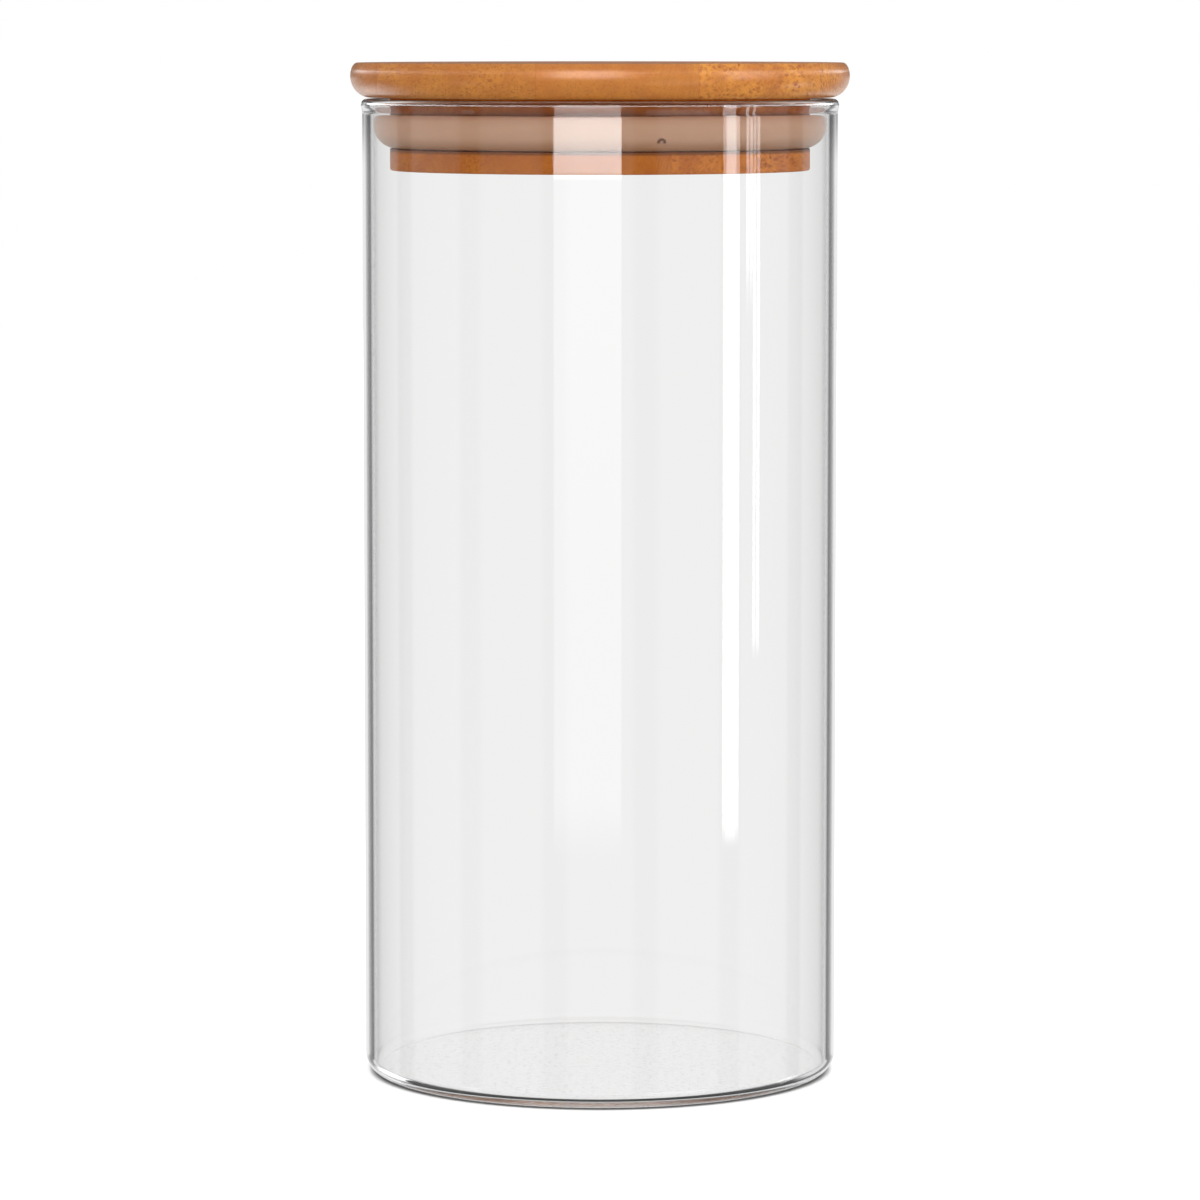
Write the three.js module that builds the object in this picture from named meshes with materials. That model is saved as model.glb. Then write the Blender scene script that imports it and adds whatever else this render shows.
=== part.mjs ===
// A straight glass canister with a push-in bamboo lid and a silicone sealing ring.
//
// Millimetres, +Z up. The origin is the centre of the underside, and Z is the axis that
// every piece turns about. The lid is pushed home. It is a wide plate that rests on the
// glass rim, and a plug glued under it whose groove holds the ring.

import * as THREE from 'three';

// ---------------------------------------------------------------- driving dimensions

// Gap kept between two pieces that touch in use.
const TOUCH_GAP = 0.3;

// Glass body.
const GLASS_RADIUS = 50;
const GLASS_HEIGHT = 206.4;
const GLASS_WALL = 2;
const GLASS_BASE = 1.8;
// Round where the wall turns into the base, on the outside.
const FOOT_ROUND = 3.6;
// The melted rim stands out from the wall by this much, over this height.
const RIM_BEAD = 0.25;
const RIM_BEAD_HEIGHT = 2.4;
const RIM_ROUND_HEIGHT = 1.2;

// Lid plate.
const PLATE_OVERHANG = 2.5;
const PLATE_THICKNESS = 7.3;
// The edge is a full round, softer below its widest line than above it.
const PLATE_CROWN_WIDTH = 1.5;
const PLATE_CROWN_HEIGHT = 2.8;
const PLATE_BELLY_WIDTH = 4.2;

// Lid plug, from the plate down: neck, groove, flange.
const PLUG_CLEARANCE = 3.8;
const NECK_HEIGHT = 2.6;
const GROOVE_HEIGHT = 8;
const GROOVE_DEPTH = 4;
const FLANGE_HEIGHT = 4.3;
const FLANGE_CHAMFER = 0.5;

// Sealing ring: a band that sits in the groove, and a lip that bows out to the glass.
const SEAL_BAND = 1.8;
const SEAL_LIP = 1.5;
const SEAL_FOOT = 1.6;
// The lip is widest this far below its top edge.
const SEAL_LIP_CROWN = 2.4;
// How far the lip draws in from its widest line to its top edge, and to its foot.
const SEAL_TOP_DRAW = 2.5;
const SEAL_FOOT_DRAW = 5;
// How far the slot behind the lip draws in towards its floor.
const SEAL_SLOT_DRAW = 2;

// Facets round each turned piece, and steps along each curved stretch of an outline. The
// steps are even in number, so that a half round has a point at its top.
const FACETS = 60;
const ARC_STEPS = 6;

// ------------------------------------------------------------------- worked-out sizes

const mouthRadius = GLASS_RADIUS - GLASS_WALL;
const plateRadius = GLASS_RADIUS + PLATE_OVERHANG;
const plugRadius = mouthRadius - PLUG_CLEARANCE;
const grooveRadius = plugRadius - GROOVE_DEPTH;
const plugHeight = NECK_HEIGHT + GROOVE_HEIGHT + FLANGE_HEIGHT;
const sealInnerRadius = grooveRadius + TOUCH_GAP;
const sealOuterRadius = mouthRadius - TOUCH_GAP;
const sealHeight = GROOVE_HEIGHT - 2 * TOUCH_GAP;

// Heights above the underside of the glass.
const plateUnderside = GLASS_HEIGHT + TOUCH_GAP;
const plugTop = plateUnderside - TOUCH_GAP;
const plugUnderside = plugTop - plugHeight;
const sealUnderside = plugUnderside + FLANGE_HEIGHT + TOUCH_GAP;

// ---------------------------------------------------------------------------- outlines

// A point of an outline: distance from the axis, and height.
function point(radius, height) {
  return new THREE.Vector2(radius, height);
}

// A stretch of an ellipse about (radius, height), between two angles in degrees. Angle 0
// points away from the axis and 90 points up.
function arc(radius, height, width, rise, fromAngle, toAngle) {
  const points = [];
  for (let step = 0; step <= ARC_STEPS; step += 1) {
    const angle = THREE.MathUtils.degToRad(
      THREE.MathUtils.lerp(fromAngle, toAngle, step / ARC_STEPS),
    );
    points.push(point(radius + width * Math.cos(angle), height + rise * Math.sin(angle)));
  }
  return points;
}

// A solid of revolution. The outline runs with the material on its left.
function turned(name, outline, material) {
  const geometry = new THREE.LatheGeometry(outline, FACETS);
  geometry.rotateX(Math.PI / 2);
  const mesh = new THREE.Mesh(geometry, material);
  mesh.name = name;
  return mesh;
}

// -------------------------------------------------------------------------- sub-parts

// Jar with a flat base, rounded foot and a slightly proud, fully rounded rim.
function makeGlassBody() {
  const floorRound = FOOT_ROUND - GLASS_WALL;
  const rimHalf = (GLASS_WALL + RIM_BEAD) / 2;
  const rimShoulder = GLASS_HEIGHT - RIM_ROUND_HEIGHT;
  const beadRise = RIM_BEAD_HEIGHT - RIM_ROUND_HEIGHT;
  const outline = [
    point(0, 0),
    ...arc(GLASS_RADIUS - FOOT_ROUND, FOOT_ROUND, FOOT_ROUND, FOOT_ROUND, -90, 0),
    ...arc(GLASS_RADIUS, rimShoulder, RIM_BEAD, beadRise, -90, 0),
    ...arc(mouthRadius + rimHalf, rimShoulder, rimHalf, RIM_ROUND_HEIGHT, 0, 180).slice(1),
    ...arc(mouthRadius - floorRound, GLASS_BASE + floorRound, floorRound, floorRound, 0, -90),
    point(0, GLASS_BASE),
  ];
  const material = new THREE.MeshStandardMaterial({
    color: 0xe9eeec,
    roughness: 0.05,
    metalness: 0,
    transparent: true,
    opacity: 0.35,
  });
  return turned('glass_body', outline, material);
}

// Laminated bamboo disc that covers the rim. Its height starts from its own underside.
function makeLidPlate() {
  const widestHeight = PLATE_THICKNESS - PLATE_CROWN_HEIGHT;
  const outline = [
    point(0, 0),
    ...arc(plateRadius - PLATE_BELLY_WIDTH, widestHeight, PLATE_BELLY_WIDTH, widestHeight, -90, 0),
    ...arc(
      plateRadius - PLATE_CROWN_WIDTH, widestHeight, PLATE_CROWN_WIDTH, PLATE_CROWN_HEIGHT, 0, 90,
    ).slice(1),
    point(0, PLATE_THICKNESS),
  ];
  const material = new THREE.MeshStandardMaterial({ color: 0xba783e, roughness: 0.45, metalness: 0 });
  return turned('lid_plate', outline, material);
}

// Bamboo plug that enters the mouth. Its height starts from the flange's underside.
function makeLidPlug() {
  const grooveBottom = FLANGE_HEIGHT;
  const grooveTop = FLANGE_HEIGHT + GROOVE_HEIGHT;
  const outline = [
    point(0, 0),
    point(plugRadius - FLANGE_CHAMFER, 0),
    point(plugRadius, FLANGE_CHAMFER),
    point(plugRadius, grooveBottom),
    point(grooveRadius, grooveBottom),
    point(grooveRadius, grooveTop),
    point(plugRadius, grooveTop),
    point(plugRadius, plugHeight),
    point(0, plugHeight),
  ];
  const material = new THREE.MeshStandardMaterial({ color: 0xa4653a, roughness: 0.5, metalness: 0 });
  return turned('lid_plug', outline, material);
}

// Silicone ring. The slot between its band and its lip opens upwards, so that the lip
// folds in as the lid goes down. Its height starts from its own underside.
function makeSealRing() {
  const crownHeight = sealHeight - SEAL_LIP_CROWN;
  const footRadius = sealOuterRadius - SEAL_FOOT_DRAW;
  const topRadius = sealOuterRadius - SEAL_TOP_DRAW;
  const slotRadius = sealOuterRadius - SEAL_LIP;
  const slotRise = crownHeight - SEAL_FOOT;
  const bandRadius = sealInnerRadius + SEAL_BAND;
  const outline = [
    point(sealInnerRadius, 0),
    ...arc(footRadius, crownHeight, SEAL_FOOT_DRAW, crownHeight, -90, 0),
    ...arc(topRadius, crownHeight, SEAL_TOP_DRAW, SEAL_LIP_CROWN, 0, 90).slice(1),
    ...arc(slotRadius - SEAL_TOP_DRAW, crownHeight, SEAL_TOP_DRAW, SEAL_LIP_CROWN, 90, 0),
    ...arc(slotRadius - SEAL_SLOT_DRAW, crownHeight, SEAL_SLOT_DRAW, slotRise, 0, -90).slice(1),
    point(bandRadius, SEAL_FOOT),
    point(bandRadius, sealHeight),
    point(sealInnerRadius, sealHeight),
    point(sealInnerRadius, 0),
  ];
  const material = new THREE.MeshStandardMaterial({ color: 0xd9c6b6, roughness: 0.4, metalness: 0 });
  return turned('seal_ring', outline, material);
}

// --------------------------------------------------------------------------- assembly

function makeLid() {
  const lid = new THREE.Group();
  const plate = makeLidPlate();
  const plug = makeLidPlug();
  const seal = makeSealRing();
  plate.position.z = plateUnderside;
  plug.position.z = plugUnderside;
  seal.position.z = sealUnderside;
  lid.add(plate, plug, seal);
  return lid;
}

const canister = new THREE.Group();
canister.add(makeGlassBody(), makeLid());

export default canister;
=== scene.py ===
"""Looks for the lidded glass canister: a clear jar, a bamboo push-in lid and a silicone ring.

Metres, +Z up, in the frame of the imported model. Each CAD node is replaced by a finer turned
mesh of nearly the same outline. Sizes and heights come from the CAD boxes, and those that a
box can't give are the named values below.
"""

import math

import bmesh
import bpy
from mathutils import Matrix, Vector


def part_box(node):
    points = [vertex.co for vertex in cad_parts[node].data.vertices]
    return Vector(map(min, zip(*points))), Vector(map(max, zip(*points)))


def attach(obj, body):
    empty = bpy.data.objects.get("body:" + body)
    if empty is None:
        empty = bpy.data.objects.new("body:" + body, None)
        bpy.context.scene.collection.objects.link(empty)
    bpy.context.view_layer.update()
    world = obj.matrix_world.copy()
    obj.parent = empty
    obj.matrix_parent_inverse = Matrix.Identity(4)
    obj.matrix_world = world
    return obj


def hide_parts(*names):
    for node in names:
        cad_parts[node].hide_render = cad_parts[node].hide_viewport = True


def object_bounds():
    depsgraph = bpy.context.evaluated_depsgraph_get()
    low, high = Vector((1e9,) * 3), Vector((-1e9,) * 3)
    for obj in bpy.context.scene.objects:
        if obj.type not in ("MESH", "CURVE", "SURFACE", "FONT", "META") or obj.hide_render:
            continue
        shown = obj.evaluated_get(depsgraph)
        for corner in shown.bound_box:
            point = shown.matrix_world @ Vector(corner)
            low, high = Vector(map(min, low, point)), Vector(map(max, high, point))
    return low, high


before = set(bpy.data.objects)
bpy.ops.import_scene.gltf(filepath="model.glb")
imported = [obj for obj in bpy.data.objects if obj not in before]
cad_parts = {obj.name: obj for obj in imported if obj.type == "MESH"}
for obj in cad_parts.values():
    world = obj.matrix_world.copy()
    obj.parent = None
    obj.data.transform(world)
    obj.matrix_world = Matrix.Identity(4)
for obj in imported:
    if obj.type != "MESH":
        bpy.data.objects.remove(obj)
cad_low, cad_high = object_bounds()

MM = 0.001

# ------------------------------------------------------------------ sizes from the frame

glass_low, glass_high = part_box("glass_body")
plate_low, plate_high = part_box("lid_plate")
plug_low, plug_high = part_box("lid_plug")
seal_low, seal_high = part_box("seal_ring")

# Sizes inside the boxes, as the CAD has them but for three. RIM_BEAD_LEAD starts the bead lower,
# for a gentler swell, PLUG_EDGE rounds the plug's edges, and SLIT_CLOSED is how much narrower the
# slits above and below the seal are.
RIM_BEAD = 0.25 * MM
RIM_BEAD_HEIGHT = 2.4 * MM
RIM_ROUND_HEIGHT = 1.2 * MM
RIM_BEAD_LEAD = 0.8 * MM
GLASS_WALL = 2 * MM
GLASS_BASE = 1.8 * MM
FOOT_ROUND = 3.6 * MM
PLATE_CROWN_WIDTH = 1.5 * MM
PLATE_CROWN_HEIGHT = 2.8 * MM
PLATE_BELLY_WIDTH = 4.2 * MM
NECK_HEIGHT = 2.6 * MM
FLANGE_HEIGHT = 4.3 * MM
GROOVE_DEPTH = 4 * MM
PLUG_EDGE = 0.5 * MM
TOUCH_GAP = 0.3 * MM
SLIT_CLOSED = 0.28 * MM
SEAL_BAND = 1.8 * MM
SEAL_LIP = 1.5 * MM
SEAL_FOOT = 1.6 * MM
SEAL_LIP_CROWN = 2.4 * MM
SEAL_TOP_DRAW = 2.5 * MM
SEAL_FOOT_DRAW = 5 * MM
SEAL_SLOT_DRAW = 2 * MM

# The crescent left by the mould on the front of the seal. The seat is the seal's radius there,
# and the reach is the bearing to both sides that gets finer steps. The crescent is open further
# down than a share of its radius, and its dark mark fades out over as many millimetres.
NUB_BEARING = math.radians(15.3)
NUB_HEIGHT = 198.1 * MM
NUB_SEAT = 46.8 * MM
NUB_RADIUS = 0.62 * MM
NUB_WIDTH = 0.45 * MM
NUB_GROWTH = 0.6 * MM
NUB_REACH = math.radians(1.8)
NUB_OPEN_BELOW = 0.35
NUB_MARK_FADE = 0.35

# In millimetres: the satin starts and is full this far below the rim's top, the scuffs start
# and are full this high above the floor, and the seal's brown, partly painted shade, this high
# above its foot.
SATIN_START, SATIN_FULL, SATIN_ROUGHNESS = 0.62, 0.5, 0.38
SCUFF_START, SCUFF_FULL, SCUFF_ROUGHNESS = 0.5, 0.05, 0.25
BROWN_START, BROWN_FULL, BROWN_SHARE = 3.1, 0.2, 0.75
# How far the painted shade in the groove reaches below and above the seal, in millimetres.
SHADE_BELOW, SHADE_ABOVE = 0.6, 1.4

# Bamboo strips from left to right: grain contrast, fineness of the grain, and shade.
STRIP_START = -79.0
STRIP_WIDTH = 33.0
STRIPS = (
    (0.45, 0.6, 0.92),
    (0.65, 0.6, 0.94),
    (0.38, 0.6, 1.0),
    (0.95, 0.2, 1.1),
    (0.75, 0.5, 1.0),
)

# Lamps: bearings of both sides, heights of the bottom and top, strength, and how far the
# bottom fades, all in degrees but the strength. Their sides and tops fade alike.
LAMP_SIDE_FADE = 0.25
LAMP_TOP_FADE = 8.0
LAMPS = (
    (-22.4, 10.3, -1.45, 38.0, 5.3, 0.06),
    (-22.4, 10.3, -8.1, 8.0, 0.80, 0.4),
    (-22.4, 10.3, -4.0, 8.0, 0.30, 2.4),
    (63.2, 70.8, -8.1, 30.0, 6.0, 0.2),
    (76.9, 78.7, -2.4, 30.0, 6.5, 0.6),
    (81.4, 83.2, -6.2, 30.0, 5.5, 0.2),
    (22.6, 55.3, -32.0, -11.0, 0.9, 0.4),
    (-157.4, -124.7, -32.0, -11.0, 0.9, 0.4),
    (108.2, 115.8, -32.0, -11.0, 2.5, 0.4),
    (-71.8, -64.2, -32.0, -11.0, 1.2, 0.4),
)
GAP_EVERY = 45.0

# A fade is where it starts and ends, in degrees, and the light at both, 0 and 1 if not given.
# Straight through the glass, by the angle from the nearest main direction.
THROUGH_FADE = (5.0, 13.0, 0.91, 0.80)
GAP_FADE = (12.0, 19.0, 1.0, 0.06)
# Mirrored inside the glass, by the same angle.
EDGE_FADE = (14.5, 18.5, 0.80, 0.10)
# By height: dark overhead, and dark below for mirrored rays only, for the lines of the foot.
OVERHEAD_FADE = (50.0, 62.0, 1.0, 0.08)
BELOW_FADE = (-34.0, -22.0, 0.06, 1.0)
# Steeply down through the glass, in place of the floor, which such rays don't meet.
FLOOR_FADE = (-38.0, -55.0)
FLOOR_LIGHT = 0.86
# Mirrored by an outside: light from behind and below the horizon.
BEHIND_FADE = (135.0, 165.0, 0.0, 0.7)
BEHIND_TOP_FADE = (-0.8, -1.4)
# Mirrored by the glass after three passes or more, and by an outside where nothing else is.
DEEP_LIGHT = 0.88
OUTSIDE_LIGHT = 0.16
# The soft light grows upwards and to the right. These two are by the ray's Z and X, not degrees.
SOFT_UPWARDS = (-0.6, 0.9, 0.72, 1.1)
SOFT_RIGHTWARDS = (-1.0, 1.0, 0.92, 1.08)
# How much the soft light gains on what stands behind the glass.
INSIDE_GAIN = 0.4

# A thin hoop of light round the studio, which the rim's ground edge mirrors as a bright line.
# In degrees: it is highest at the front, falls towards the back, and lies lower by the drop.
HOOP_HEIGHT = 24.0
HOOP_DROP = 0.75
HOOP_STRENGTH = 7.0
HOOP_FADE = (1.1, 0.6)
HOOP_END_FADE = (145.0, 158.0, 1.0, 0.0)

# The ground edge of the rim: how high it reaches above the shoulder, and its slope in degrees.
RIM_EDGE_HEIGHT = 0.55 * MM
RIM_EDGE_SLOPE = 12.0

# The floor lightens outwards under the foot, from the first radius in millimetres to the
# second. It is grey and glows a little.
CONTACT_SHADE = (47.7, 50.1)
CONTACT_LIGHT = 0.12
FLOOR_GREY = 0.8
FLOOR_GLOW = 0.45

# Distance from a line's end to the point that holds its shading.
CLOSE_POINT = 0.15 * MM

# Steps round each turned piece.
ROUND_STEPS = 256

glass_radius = glass_high.x - RIM_BEAD
mouth_radius = glass_radius - GLASS_WALL


# ----------------------------------------------------------------------------- outlines

def arc(radius, height, width, rise, start, end, steps=12):
    """Points on an ellipse about (radius, height), from one angle in degrees to another."""
    turn = [math.radians(start + (end - start) * i / steps) for i in range(steps + 1)]
    return [(radius + width * math.cos(a), height + rise * math.sin(a)) for a in turn]


def straight(start, end, steps):
    """Points along a line, without its first one, and with one close to each of its ends.

    The close points keep the smooth shading of a neighbouring curve off the flat part.
    """
    length = math.hypot(end[0] - start[0], end[1] - start[1])
    close = CLOSE_POINT / length
    shares = [close, *[i / steps for i in range(1, steps)], 1 - close, 1]
    return [
        (start[0] + (end[0] - start[0]) * share, start[1] + (end[1] - start[1]) * share)
        for share in shares
    ]


def swelling(radius, low, growth, high, steps):
    """Points up a wall that swells smoothly between two heights, without the first one."""
    shares = [i / steps for i in range(1, steps + 1)]
    return [
        (radius + growth * share * share * (3 - 2 * share), low + (high - low) * share)
        for share in shares
    ]


def even_angles(count):
    """Angles all round, in radians."""
    return [2 * math.pi * i / count for i in range(count)]


def turned(name, outline, angles, material, shape=None):
    """A solid of revolution. The outline runs from axis to axis, or round a ring and closes."""
    mesh = bmesh.new()
    on_axis = outline[0][0] < 1e-9
    rings = []
    for radius, height in outline:
        if radius < 1e-9:
            rings.append([mesh.verts.new((0, 0, height))])
            continue
        ring = []
        for angle in angles:
            place = Vector((radius * math.cos(angle), radius * math.sin(angle), height))
            ring.append(mesh.verts.new(shape(place) if shape else place))
        rings.append(ring)
    if not on_axis:
        rings.append(rings[0])
    count = len(angles)
    for low, high in zip(rings, rings[1:]):
        for i in range(count):
            j = (i + 1) % count
            corners = [low[i % len(low)], low[j % len(low)],
                       high[j % len(high)], high[i % len(high)]]
            mesh.faces.new(list(dict.fromkeys(corners)))
    bmesh.ops.recalc_face_normals(mesh, faces=mesh.faces)
    data = bpy.data.meshes.new(name)
    mesh.to_mesh(data)
    mesh.free()
    data.shade_smooth()
    piece = bpy.data.objects.new(name, data)
    bpy.context.scene.collection.objects.link(piece)
    data.materials.append(material)
    return piece


# ------------------------------------------------------------------------ material tools

class Tree:
    """A short way to write shader nodes: tree.add(kind, socket=value or other node's socket)."""

    def __init__(self, owner):
        owner.use_nodes = True
        self.tree = owner.node_tree
        self.tree.nodes.clear()

    def add(self, kind, sockets=None, **settings):
        made = self.tree.nodes.new("ShaderNode" + kind)
        for key, value in settings.items():
            setattr(made, key, value)
        for key, value in (sockets or {}).items():
            self.put(made.inputs[key], value)
        return made

    def put(self, socket, value):
        if isinstance(value, bpy.types.NodeSocket):
            self.tree.links.new(value, socket)
        else:
            socket.default_value = value

    def maths(self, operation, first, second=0.0, third=0.0):
        made = self.add("Math", operation=operation)
        for socket, value in zip(made.inputs, (first, second, third)):
            self.put(socket, value)
        return made.outputs[0]

    def span(self, value, low, high, to_low=0.0, to_high=1.0):
        """The value's place between low and high, eased at both ends."""
        made = self.add("MapRange", interpolation_type="SMOOTHSTEP")
        for key, number in zip(("Value", "From Min", "From Max", "To Min", "To Max"),
                               (value, low, high, to_low, to_high)):
            self.put(made.inputs[key], number)
        return made.outputs["Result"]

    def choose(self, share, first, second):
        """The first number, or the second as the share goes from 0 to 1."""
        return self.add("Mix", {0: share, 2: first, 3: second}, data_type="FLOAT").outputs[0]

    def blend(self, share, first, second, how="MIX"):
        """A mix of two colours, on sockets taken by number because a Mix node repeats names."""
        made = self.add("Mix", data_type="RGBA", blend_type=how)
        self.put(made.inputs["Factor"], share)
        self.put(made.inputs[6], first)
        self.put(made.inputs[7], second)
        return made.outputs[2]


def rgb(red, green, blue):
    return (red, green, blue, 1.0)


# ------------------------------------------------------------------------------ materials

def make_glass():
    """Clear glass, satin where the rim was ground and faintly scuffed where it stands."""
    material = bpy.data.materials.new("clear_glass")
    tree = Tree(material)
    place = tree.add("TexCoord").outputs["Object"]
    up = tree.maths("DIVIDE", tree.add("SeparateXYZ", {0: place}).outputs[2], MM)
    rim = glass_high.z / MM
    ground = tree.span(up, rim - SATIN_START, rim - SATIN_FULL, 0.0, SATIN_ROUGHNESS)
    scratches = tree.add("TexNoise", {"Vector": place, "Scale": 900, "Detail": 3}).outputs["Fac"]
    scuffed = tree.maths("MULTIPLY", tree.span(up, SCUFF_START, SCUFF_FULL),
                         tree.span(scratches, 0.5, 0.7, 0.0, SCUFF_ROUGHNESS))
    shader = tree.add("BsdfPrincipled", {
        "Base Color": rgb(0.995, 0.996, 0.993),
        "Roughness": tree.maths("ADD", ground, scuffed),
        "IOR": 1.47,
        "Transmission Weight": 1.0,
    })
    output = tree.add("OutputMaterial")
    tree.put(output.inputs["Surface"], shader.outputs[0])
    return material


def make_bamboo(name, turn, tones, lacquer, groove_shade=None):
    """Laminated bamboo, lacquered. Fibres run along Y before the turn, in degrees about Z.

    The end grain at the front and back shows the fibre bundles as specks. On the top and at
    the sides the same bundles are streaks. The groove shade is painted shade: a height range
    darkened round the seal, where the plug lies in shade.
    """
    material = bpy.data.materials.new(name)
    tree = Tree(material)
    place = tree.add("TexCoord").outputs["Object"]
    board = tree.add("Mapping", {"Vector": place, "Rotation": (0, 0, math.radians(turn)),
                                 "Scale": (1 / MM, 1 / MM, 1 / MM)}).outputs[0]
    across, along, up = tree.add("SeparateXYZ", {0: board}).outputs
    strip = tree.maths("DIVIDE", tree.maths("SUBTRACT", across, STRIP_START), STRIP_WIDTH)
    index = tree.maths("FLOOR", strip)
    within = tree.maths("FRACT", strip)
    settled = tree.maths("ADD", index, tree.span(within, 0.72, 1.28, 0.0, 1.0))
    number = tree.maths("DIVIDE", settled, len(STRIPS))
    character = tree.add("ValToRGB", {"Fac": number})
    ramp = character.color_ramp
    ramp.interpolation = "LINEAR"
    while len(ramp.elements) < len(STRIPS):
        ramp.elements.new(1.0)
    for i, values in enumerate(STRIPS):
        ramp.elements[i].position = i / len(STRIPS)
        ramp.elements[i].color = (*values, 1.0)
    contrast, fineness, shade = tree.add("SeparateColor", {"Color": character.outputs[0]}).outputs

    warp = tree.add("TexNoise", {"Vector": board, "Scale": 0.2, "Detail": 2})
    apart = tree.maths("MULTIPLY", index, 17.3)
    wander = tree.maths("MULTIPLY_ADD", warp.outputs["Fac"], 0.9, apart)
    grain = tree.add("CombineXYZ", {0: tree.maths("ADD", across, wander),
                                    1: tree.maths("MULTIPLY", along, 0.03), 2: up}).outputs[0]
    jitter = tree.add("TexNoise", {"Vector": grain, "Scale": 1.1, "Detail": 2}).outputs["Color"]
    jitter = tree.add("VectorMath", {0: jitter, 1: (0.5, 0.5, 0.5)},
                      operation="SUBTRACT").outputs[0]
    rough_grain = tree.add("VectorMath", {0: jitter, 1: (1.5, 0.0, 1.1), 2: grain},
                           operation="MULTIPLY_ADD").outputs[0]
    size = tree.maths("MULTIPLY_ADD", fineness, 1.2, 0.85)
    bundles = tree.add("TexVoronoi", {"Vector": rough_grain, "Scale": size, "Randomness": 1.0})
    specks = tree.span(bundles.outputs["Distance"], 0.60, 0.14)
    each = tree.add("SeparateColor", {"Color": bundles.outputs["Color"]}).outputs[0]
    patches = tree.add("TexNoise", {"Vector": grain, "Scale": 0.22, "Detail": 2}).outputs["Fac"]
    strength = tree.maths("MULTIPLY", tree.maths("MULTIPLY_ADD", each, 0.6, 0.4),
                          tree.span(patches, 0.3, 0.6, 0.45, 1.0))
    specks = tree.maths("MULTIPLY", specks, strength)
    fibres = tree.add("TexNoise", {"Vector": grain, "Scale": 2.4, "Detail": 3, "Roughness": 0.7})
    streaks = tree.add("TexNoise", {"Vector": grain, "Scale": 0.35, "Detail": 4, "Roughness": 0.55})
    clouds = tree.add("TexNoise", {"Vector": board, "Scale": 0.07, "Detail": 2})
    seam = tree.span(tree.maths("ABSOLUTE", tree.maths("SUBTRACT", within, 0.5)), 0.493, 0.4985)
    # Each strip has one knuckle, at a place of its own along it.
    spread = tree.maths("FRACT", tree.maths("MULTIPLY", tree.maths("ADD", index, 0.37), 0.618))
    knuckle_place = tree.maths("SUBTRACT", tree.maths("MULTIPLY", spread, 90.0), 45.0)
    off_knuckle = tree.maths("ABSOLUTE", tree.maths("SUBTRACT", along, knuckle_place))
    knuckle = tree.span(off_knuckle, 1.5, 0.3)

    dark, middle, pale = tones
    fine = tree.maths("MULTIPLY", tree.span(fibres.outputs["Fac"], 0.42, 0.68), contrast)
    tone = tree.blend(tree.span(streaks.outputs["Fac"], 0.3, 0.7, 0.15, 0.55), middle, dark)
    tone = tree.blend(tree.maths("MULTIPLY", clouds.outputs["Fac"], 0.45), tone, pale)
    open_grain = tree.maths("MULTIPLY", contrast, tree.span(patches, 0.3, 0.65, 0.25, 0.75))
    tone = tree.blend(open_grain, tone, pale)
    tone = tree.blend(tree.maths("MULTIPLY", specks, contrast), tone, dark)
    tone = tree.blend(tree.maths("MULTIPLY", fine, 0.4), tone, dark)
    tone = tree.blend(tree.maths("MULTIPLY", seam, 0.22), tone, dark)
    tone = tree.blend(tree.maths("MULTIPLY", knuckle, 0.25), tone, dark)
    lift = tree.add("CombineColor", {0: shade, 1: shade, 2: shade}).outputs[0]
    tone = tree.blend(1.0, tone, lift, "MULTIPLY")
    # Painted shade: the plug is darkened over the groove's height range, where it lies in shade
    # round the seal.
    if groove_shade:
        low, high = groove_shade
        groove_shade_share = tree.maths("MULTIPLY", tree.span(up, low - 0.35, low + 0.25),
                            tree.span(up, high - 1.0, high + 1.2, 1.0, 0.0))
        tone = tree.blend(tree.maths("MULTIPLY", groove_shade_share, 0.8), tone, rgb(0.17, 0.055, 0.015))
    relief = tree.maths("ADD", tree.maths("MULTIPLY", specks, 0.6), fibres.outputs["Fac"])
    bump = tree.add("Bump", {"Height": relief, "Strength": 0.3, "Distance": 0.03 * MM})
    shader = tree.add("BsdfPrincipled", {
        "Base Color": tone,
        "Roughness": tree.maths("MULTIPLY_ADD", fibres.outputs["Fac"], 0.25, 0.34),
        "Normal": bump.outputs[0],
        "Specular IOR Level": 0.15 + 0.35 * lacquer,
        "Coat Weight": 0.9 * lacquer,
        "Coat Roughness": 0.26,
    })
    output = tree.add("OutputMaterial")
    tree.put(output.inputs["Surface"], shader.outputs[0])
    return material


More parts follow.
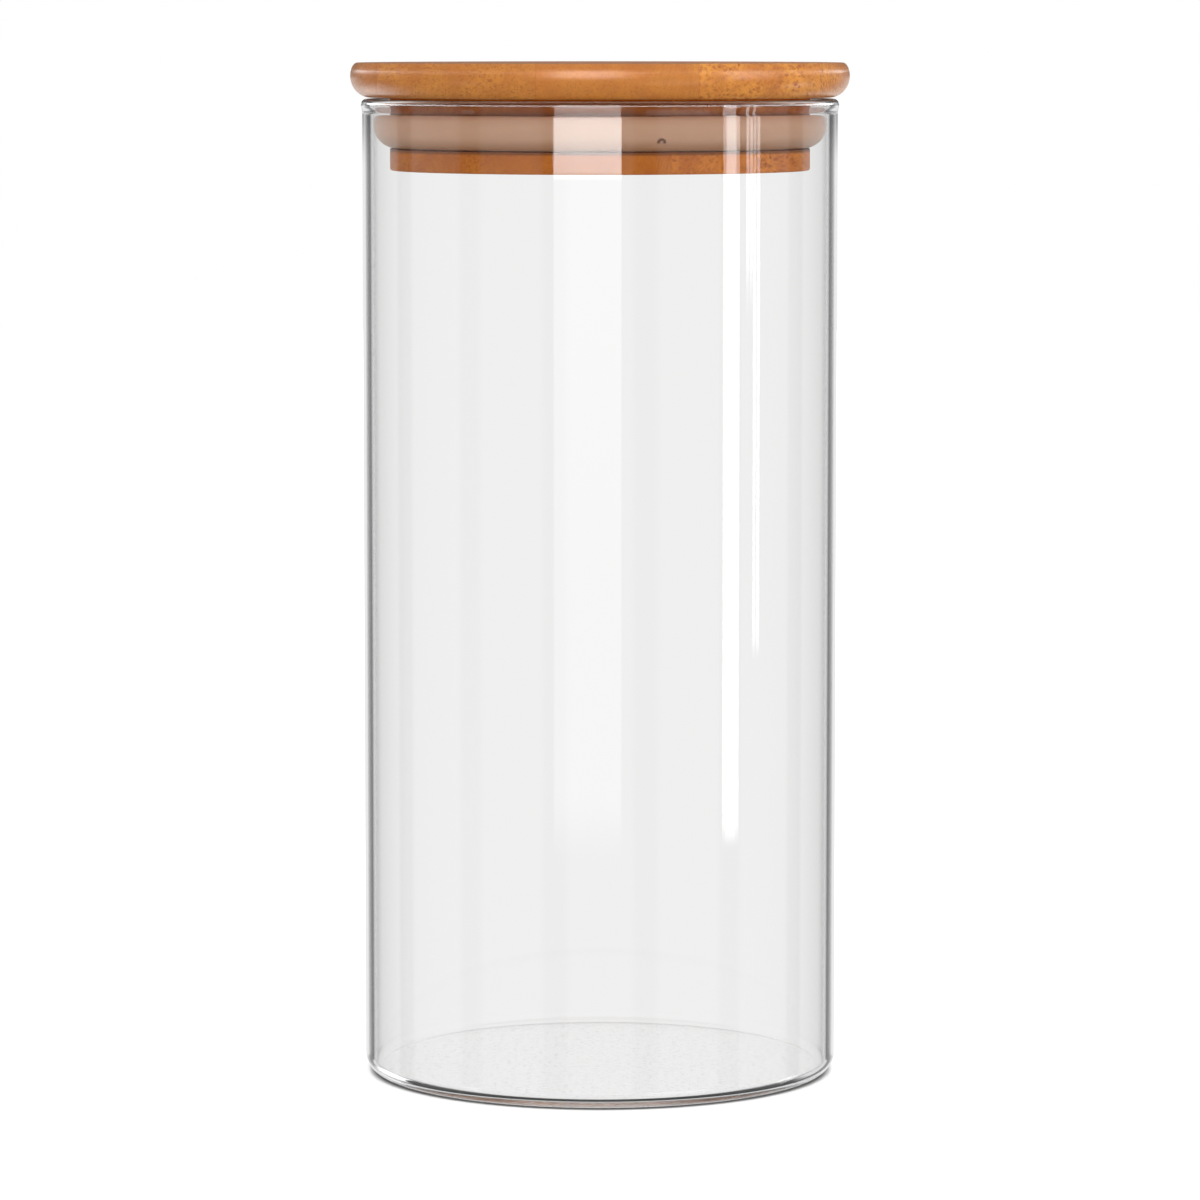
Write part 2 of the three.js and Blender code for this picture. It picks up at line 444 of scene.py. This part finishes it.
def make_silicone():
    """Milky silicone, browner towards its foot by painted shade and the bamboo seen through it,
    with a dark mark where the nub is.
    """
    material = bpy.data.materials.new("milky_silicone")
    tree = Tree(material)
    place = tree.add("TexCoord").outputs["Object"]
    clouds = tree.add("TexNoise", {"Vector": place, "Scale": 90, "Detail": 3})
    fine = tree.add("TexNoise", {"Vector": place, "Scale": 2500, "Detail": 2})
    tone = tree.blend(clouds.outputs["Fac"], rgb(0.68, 0.395, 0.25), rgb(0.75, 0.45, 0.30))
    height = tree.maths("DIVIDE", tree.add("SeparateXYZ", {0: place}).outputs[2], MM)
    foot = seal_low.z / MM
    # Painted shade: the seal turns darker and browner towards its foot, where the lip overhangs the
    # flange; part of the brown is the bamboo seen through the thin silicone.
    shaded_brown_foot = tree.span(height, foot + BROWN_START, foot + BROWN_FULL, 0.0, BROWN_SHARE)
    tone = tree.blend(shaded_brown_foot, tone, rgb(0.42, 0.20, 0.09))
    x, y, z = tree.add("SeparateXYZ", {0: place}).outputs
    front = tree.add("CombineXYZ", {0: x, 2: z}).outputs[0]
    nub = (NUB_SEAT * math.sin(NUB_BEARING), 0, NUB_HEIGHT)
    away = tree.add("VectorMath", {0: front, 1: nub}, operation="DISTANCE").outputs["Value"]
    off = tree.maths("ABSOLUTE", tree.maths("SUBTRACT", away, NUB_RADIUS))
    crescent = tree.maths("MULTIPLY", tree.span(off, NUB_WIDTH, 0.2 * NUB_WIDTH, 0.0, 0.85),
                          tree.span(height, NUB_HEIGHT / MM - NUB_MARK_FADE, NUB_HEIGHT / MM))
    crescent = tree.maths("MULTIPLY", crescent, tree.span(y, 0.0, -1.0 * MM))
    tone = tree.blend(crescent, tone, rgb(0.16, 0.06, 0.03))
    bump = tree.add("Bump", {"Height": fine.outputs["Fac"], "Strength": 0.15,
                             "Distance": 0.02 * MM})
    shader = tree.add("BsdfPrincipled", {
        "Base Color": tone,
        "Roughness": tree.maths("MULTIPLY_ADD", fine.outputs["Fac"], 0.1, 0.36),
        "Normal": bump.outputs[0],
        "Specular IOR Level": 0.3,
        "Subsurface Weight": 0.2,
        "Subsurface Radius": (1.0, 0.7, 0.5),
        "Subsurface Scale": 0.8 * MM,
    })
    output = tree.add("OutputMaterial")
    tree.put(output.inputs["Surface"], shader.outputs[0])
    return material


# --------------------------------------------------------------------------------- pieces

def make_glass_body(material):
    """The jar, from under its base up the outside, over the rim and down the inside."""
    shoulder = glass_high.z - RIM_ROUND_HEIGHT
    rim_half = (GLASS_WALL + RIM_BEAD) / 2
    floor_round = FOOT_ROUND - GLASS_WALL
    bead_start = glass_high.z - RIM_BEAD_HEIGHT - RIM_BEAD_LEAD
    foot = glass_radius - FOOT_ROUND
    floor = mouth_radius - floor_round
    edge_turn = math.degrees(math.asin(RIM_EDGE_HEIGHT / RIM_ROUND_HEIGHT))
    edge_draw = RIM_EDGE_HEIGHT * math.tan(math.radians(RIM_EDGE_SLOPE))
    edge_top = (glass_high.x - edge_draw, shoulder + RIM_EDGE_HEIGHT)
    outline = [
        (0, 0), *straight((0, 0), (foot, 0), 8),
        *arc(foot, FOOT_ROUND, FOOT_ROUND, FOOT_ROUND, -90, 0, 20)[1:],
        *straight((glass_radius, FOOT_ROUND), (glass_radius, bead_start), 24),
        *swelling(glass_radius, bead_start, RIM_BEAD, shoulder, 20),
        *straight((glass_high.x, shoulder), edge_top, 2),
        *arc(mouth_radius + rim_half, shoulder, rim_half, RIM_ROUND_HEIGHT,
             edge_turn, 180, 24)[1:],
        *straight((mouth_radius, shoulder), (mouth_radius, GLASS_BASE + floor_round), 24),
        *arc(floor, GLASS_BASE + floor_round, floor_round, floor_round, 0, -90, 16)[1:],
        *straight((floor, GLASS_BASE), (0, GLASS_BASE), 8),
    ]
    return turned("jar_glass", outline, even_angles(ROUND_STEPS), material)


def make_lid_plate(material):
    """The plate, with an edge that is softer below its widest line than above it."""
    radius = plate_high.x
    widest = plate_high.z - PLATE_CROWN_HEIGHT
    belly = widest - plate_low.z
    outline = [
        (0, plate_low.z),
        *straight((0, plate_low.z), (radius - PLATE_BELLY_WIDTH, plate_low.z), 8),
        *arc(radius - PLATE_BELLY_WIDTH, widest, PLATE_BELLY_WIDTH, belly, -90, 0, 16)[1:],
        *arc(radius - PLATE_CROWN_WIDTH, widest, PLATE_CROWN_WIDTH, PLATE_CROWN_HEIGHT,
             0, 90, 14)[1:],
        *straight((radius - PLATE_CROWN_WIDTH, plate_high.z), (0, plate_high.z), 8),
    ]
    return turned("lid_plate_bamboo", outline, even_angles(ROUND_STEPS), material)


def make_lid_plug(material):
    """The plug, from the flange past the groove and neck up to the plate."""
    radius = plug_high.x
    low = plug_low.z
    high = plate_low.z
    groove = radius - GROOVE_DEPTH
    flange = low + FLANGE_HEIGHT + SLIT_CLOSED
    neck = plug_high.z - NECK_HEIGHT - SLIT_CLOSED
    edge = PLUG_EDGE
    outline = [
        (0, low), *straight((0, low), (radius - edge, low), 6),
        *arc(radius - edge, low + edge, edge, edge, -90, 0, 6)[1:],
        *arc(radius - edge / 2, flange - edge / 2, edge / 2, edge / 2, 0, 90, 4),
        (groove, flange), (groove, neck),
        *arc(radius - edge / 2, neck + edge / 2, edge / 2, edge / 2, -90, 0, 4),
        (radius, high), *straight((radius, high), (0, high), 6),
    ]
    return turned("lid_plug_bamboo", outline, even_angles(ROUND_STEPS), material)


def seal_angles():
    """Even angles round the ring, with close ones where the moulding nub is."""
    near = NUB_BEARING - math.pi / 2
    steps = 28
    close = [near - NUB_REACH + 2 * NUB_REACH * i / steps for i in range(steps + 1)]

    def off(angle):
        return abs((angle - near + math.pi) % (2 * math.pi) - math.pi)

    full = [angle for angle in even_angles(ROUND_STEPS) if off(angle) > NUB_REACH]
    return sorted(full + [a % (2 * math.pi) for a in close])


def raise_nub(place):
    """Raises the small crescent that the mould's vent leaves on the front of the ring."""
    radius = math.hypot(place.x, place.y)
    bearing = math.atan2(place.x, -place.y)
    if radius < plug_high.x or abs(bearing - NUB_BEARING) > NUB_REACH:
        return place
    side = (bearing - NUB_BEARING) * radius
    rise = place.z - NUB_HEIGHT
    off = abs(math.hypot(side, rise) - NUB_RADIUS) / NUB_WIDTH
    if off > 1 or rise < -NUB_OPEN_BELOW * NUB_RADIUS:
        return place
    growth = 1 + NUB_GROWTH * math.cos(off * math.pi / 2) ** 2 / radius
    return Vector((place.x * growth, place.y * growth, place.z))


def make_seal(material):
    """The ring: its foot and outer lip, the slot behind the lip, and the band in the groove."""
    outer = seal_high.x
    low = seal_low.z
    crown = seal_high.z - SEAL_LIP_CROWN
    inner = plug_high.x - GROOVE_DEPTH + TOUCH_GAP
    slot = outer - SEAL_LIP
    band = inner + SEAL_BAND
    outline = [
        (inner, low),
        *arc(outer - SEAL_FOOT_DRAW, crown, SEAL_FOOT_DRAW, crown - low, -90, 0, 48),
        *arc(outer - SEAL_TOP_DRAW, crown, SEAL_TOP_DRAW, SEAL_LIP_CROWN, 0, 90, 12)[1:],
        *arc(slot - SEAL_TOP_DRAW, crown, SEAL_TOP_DRAW, SEAL_LIP_CROWN, 90, 0, 10),
        *arc(slot - SEAL_SLOT_DRAW, crown, SEAL_SLOT_DRAW, crown - low - SEAL_FOOT, 0, -90, 10)[1:],
        (band, low + SEAL_FOOT),
        (band, seal_high.z),
        (inner, seal_high.z),
    ]
    return turned("seal_silicone", outline, seal_angles(), material, raise_nub)


# --------------------------------------------------------------------------------- stage

def make_camera():
    """Just above the lid's top, level with it, tipped down enough to centre the canister."""
    distance = 1.190
    above_lid = 0.0063
    tip = math.radians(5.754)
    data = bpy.data.cameras.new("camera")
    data.sensor_width = 36
    data.lens = 169.0
    data.clip_start, data.clip_end = 0.01, 50
    camera = bpy.data.objects.new("camera", data)
    camera.location = (0, -distance, cad_high.z + above_lid)
    camera.rotation_euler = (math.pi / 2 - tip, 0, 0)
    bpy.context.scene.collection.objects.link(camera)
    bpy.context.scene.camera = camera


def make_world():
    """Soft white light all round, with dark gaps between the main directions for clear edges.

    Straight through the jar the gaps show at its edges only. The lamps show as reflections in
    the front of the glass and as the highlight on the lid. Which light a ray finds depends on
    whether it was scattered, mirrored or passed through glass on its way.
    """
    world = bpy.data.worlds.new("studio")
    bpy.context.scene.world = world
    tree = Tree(world)
    ray = tree.add("LightPath").outputs
    way = tree.add("SeparateXYZ", {0: tree.add("TexCoord").outputs["Generated"]}).outputs
    level = tree.maths("SQRT", tree.maths("ADD", tree.maths("MULTIPLY", way[0], way[0]),
                                          tree.maths("MULTIPLY", way[1], way[1])))
    height = tree.maths("MULTIPLY", tree.maths("ARCTAN2", way[2], level), 180 / math.pi)
    # Degrees round from the front (-Y) towards the right (+X).
    towards = tree.maths("MULTIPLY", way[1], -1.0)
    front = tree.maths("MULTIPLY", tree.maths("ARCTAN2", way[0], towards), 180 / math.pi)
    diffused = tree.maths("GREATER_THAN", ray["Diffuse Depth"], 0.5)
    mirrored = tree.maths("GREATER_THAN", ray["Glossy Depth"], 0.5)
    passed = tree.maths("GREATER_THAN", ray["Transmission Depth"], 0.5)
    deep = tree.maths("GREATER_THAN", ray["Transmission Depth"], 2.5)

    part = tree.maths("FRACT", tree.maths("ADD", tree.maths("DIVIDE", front, GAP_EVERY), 0.5))
    part = tree.maths("ABSOLUTE", tree.maths("SUBTRACT", part, 0.5))
    side = tree.maths("MULTIPLY", part, GAP_EVERY)
    gap = tree.span(side, *GAP_FADE)
    through = tree.maths("MULTIPLY", tree.span(side, *THROUGH_FADE), gap)

    def lamp(low, high, bottom, top, strength, fade):
        """A patch of light between two bearings and two heights, in degrees."""
        edge = LAMP_SIDE_FADE
        inside = tree.maths("MULTIPLY", tree.span(front, low - edge, low + edge),
                            tree.span(front, high - edge, high + edge, 1.0, 0.0))
        rise = tree.maths("MULTIPLY", tree.span(height, bottom - fade, bottom + fade),
                          tree.span(height, top - LAMP_TOP_FADE, top, 1.0, 0.0))
        return tree.maths("MULTIPLY", tree.maths("MULTIPLY", inside, rise), strength)

    lamps = 0.0
    for patch in LAMPS:
        lamps = tree.maths("ADD", lamps, lamp(*patch))
    below_top = tree.span(height, *OVERHEAD_FADE)
    level_light = tree.maths("MULTIPLY", below_top, tree.span(height, *BELOW_FADE))
    looking_down = tree.span(height, *FLOOR_FADE)
    through = tree.maths("MULTIPLY", through, below_top)
    through = tree.choose(looking_down, through, FLOOR_LIGHT)
    edge = tree.maths("MULTIPLY", tree.span(side, *EDGE_FADE), level_light)
    far = tree.maths("MULTIPLY", level_light, DEEP_LIGHT)
    inner = tree.maths("ADD", lamps, edge)
    turned_half = tree.maths("COSINE", tree.maths("MULTIPLY", front, math.pi / 360))
    hoop_height = tree.maths("MULTIPLY_ADD", turned_half, HOOP_HEIGHT, -HOOP_DROP)
    off_hoop = tree.maths("ABSOLUTE", tree.maths("SUBTRACT", height, hoop_height))
    hoop = tree.maths("MULTIPLY", tree.span(off_hoop, *HOOP_FADE, 0.0, HOOP_STRENGTH),
                      tree.span(tree.maths("ABSOLUTE", front), *HOOP_END_FADE))
    behind = tree.maths("MULTIPLY", tree.span(tree.maths("ABSOLUTE", front), *BEHIND_FADE),
                        tree.span(height, *BEHIND_TOP_FADE))
    outer = tree.maths("ADD", tree.maths("ADD", lamps, hoop),
                       tree.maths("ADD", behind, OUTSIDE_LIGHT))
    mirror = tree.choose(deep, inner, far)
    mirror = tree.choose(passed, outer, mirror)
    above = tree.span(way[2], *SOFT_UPWARDS)
    right = tree.span(way[0], *SOFT_RIGHTWARDS)
    within = tree.maths("MULTIPLY_ADD", passed, INSIDE_GAIN, 1.0)
    soft = tree.maths("MULTIPLY", tree.maths("MULTIPLY", above, right), within)
    clear = tree.choose(passed, soft, through)
    clear = tree.choose(mirrored, clear, mirror)
    total = tree.choose(diffused, clear, soft)
    total = tree.choose(ray["Is Camera Ray"], total, 1.0)
    back = tree.add("Background", {"Color": rgb(1, 1, 1), "Strength": total})
    output = tree.add("OutputWorld")
    tree.put(output.inputs["Surface"], back.outputs[0])


def make_floor():
    """A pale floor, darker in a ring under the foot. Only the camera sees it."""
    data = bpy.data.meshes.new("floor")
    half = 3.0
    corners = [(-half, -half, 0), (half, -half, 0), (half, half, 0), (-half, half, 0)]
    data.from_pydata(corners, [], [(0, 1, 2, 3)])
    floor = bpy.data.objects.new("floor", data)
    clear_of_glass = 0.02 * MM
    floor.location.z = glass_low.z - clear_of_glass
    bpy.context.scene.collection.objects.link(floor)
    material = bpy.data.materials.new("floor")
    tree = Tree(material)
    place = tree.add("TexCoord").outputs["Object"]
    away = tree.add("VectorMath", {0: place}, operation="LENGTH").outputs["Value"]
    away = tree.maths("DIVIDE", away, MM)
    open_side = tree.span(away, *CONTACT_SHADE, CONTACT_LIGHT, 1.0)
    shade = tree.maths("MULTIPLY", open_side, FLOOR_GREY)
    grey = tree.add("CombineColor", {0: shade, 1: shade, 2: shade}).outputs[0]
    matt = tree.add("BsdfDiffuse", {"Color": grey})
    strength = tree.maths("MULTIPLY", open_side, FLOOR_GLOW)
    glow = tree.add("Emission", {"Color": rgb(1, 1, 1), "Strength": strength})
    both = tree.add("AddShader", {0: matt.outputs[0], 1: glow.outputs[0]})
    output = tree.add("OutputMaterial")
    tree.put(output.inputs["Surface"], both.outputs[0])
    data.materials.append(material)
    floor.visible_transmission = False
    floor.visible_glossy = False
    floor.visible_diffuse = False
    floor.visible_shadow = False


def make_stage():
    """Camera, light and floor, none of which belongs to the canister."""
    make_camera()
    make_world()
    make_floor()
    # The base of the jar pipes light through many turns, and is black if they are cut short.
    tracing = bpy.context.scene.cycles
    tracing.max_bounces = tracing.glossy_bounces = tracing.transmission_bounces = 64
    bpy.context.scene.view_settings.view_transform = "Standard"


# ------------------------------------------------------------------------------ assembly

def seat(piece, body, node):
    """Puts a piece on its body, and hides the CAD node that it replaces."""
    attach(piece, body)
    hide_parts(node)


def build():
    """The four pieces, each on the body it moves with."""
    plate_tones = (rgb(0.40, 0.076, 0.003), rgb(0.61, 0.150, 0.009), rgb(0.95, 0.39, 0.040))
    plug_tones = (rgb(0.37, 0.070, 0.003), rgb(0.55, 0.135, 0.008), rgb(0.78, 0.27, 0.025))
    seat(make_glass_body(make_glass()), "glass", "glass_body")
    plate = make_lid_plate(make_bamboo("bamboo_plate", 0, plate_tones, 1.0))
    seat(plate, "lid", "lid_plate")
    # The height range of the painted shade on the plug, round the seal in its groove.
    groove = (seal_low.z / MM - SHADE_BELOW, seal_high.z / MM + SHADE_ABOVE)
    plug = make_lid_plug(make_bamboo("bamboo_plug", 8, plug_tones, 0.0, groove))
    seat(plug, "lid", "lid_plug")
    seat(make_seal(make_silicone()), "seal", "seal_ring")


make_stage()
build()
